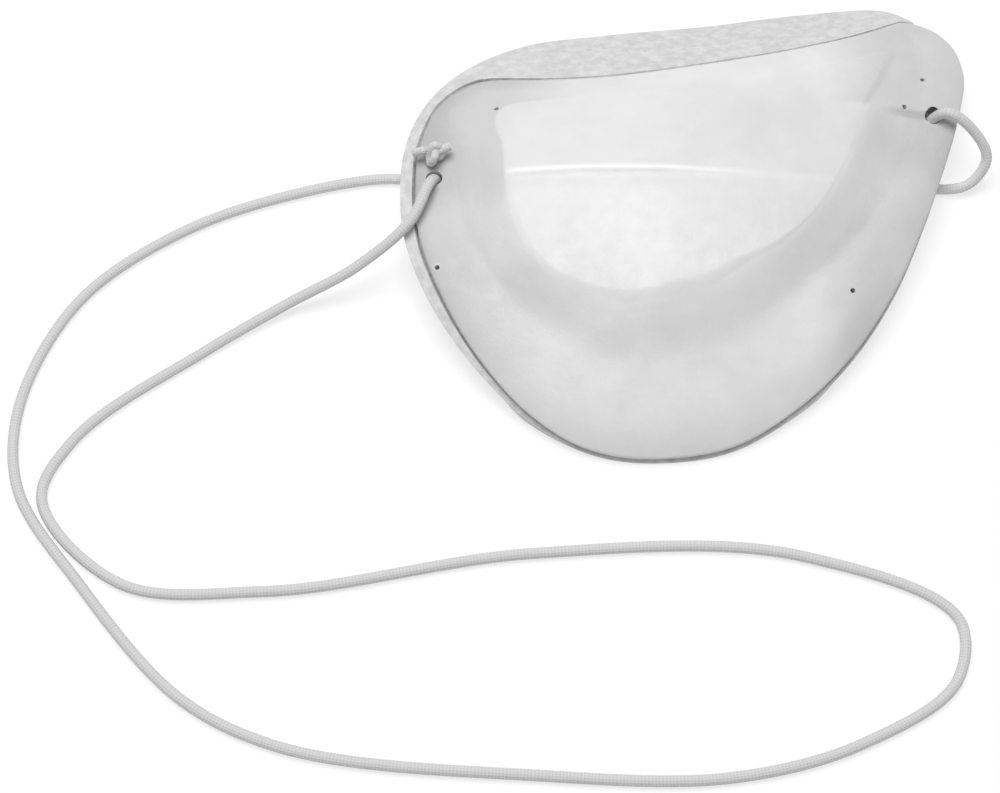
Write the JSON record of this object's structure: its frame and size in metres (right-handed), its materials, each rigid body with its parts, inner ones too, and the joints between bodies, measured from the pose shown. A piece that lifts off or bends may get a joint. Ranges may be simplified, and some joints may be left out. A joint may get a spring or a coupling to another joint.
{
  "type": "eye patch",
  "caption": "Moulded concave eye patch: domed front shell over a face-side lining, held by an elastic cord with stopper knots.",
  "frame": {"origin": "centre of the patch's outline, on the surface it rests on, without the free cord", "axes": "+X along the patch's width, towards the higher brow corner; +Y from the tip to the brow; +Z out of the front of the dome"},
  "size_m": [0.1362, 0.1181, 0.0154],
  "materials": {
    "shell": "white moulded plastic sheet, satin, fine pebble grain",
    "lining": "white face-side lining, soft, faintly mottled",
    "elastic": "white braided round elastic"
  },
  "bodies": {
    "patch": {"front_shell": "shell", "inner_lining": "lining", "elastic_cord": "elastic"},
    "left_stopper": {"left_knot": "elastic"},
    "right_stopper": {"right_knot": "elastic"}
  },
  "joints": [
    {"name": "left_knot_slide", "type": "slide", "parent": "patch", "child": "left_stopper", "axis": [-0.1962, 0.1207, 0.9731], "range_m": [0, 0.003]},
    {"name": "right_knot_slide", "type": "slide", "parent": "patch", "child": "right_stopper", "axis": [-0.1848, 0.0163, -0.9826], "range_m": [0, 0.0025]}
  ]
}
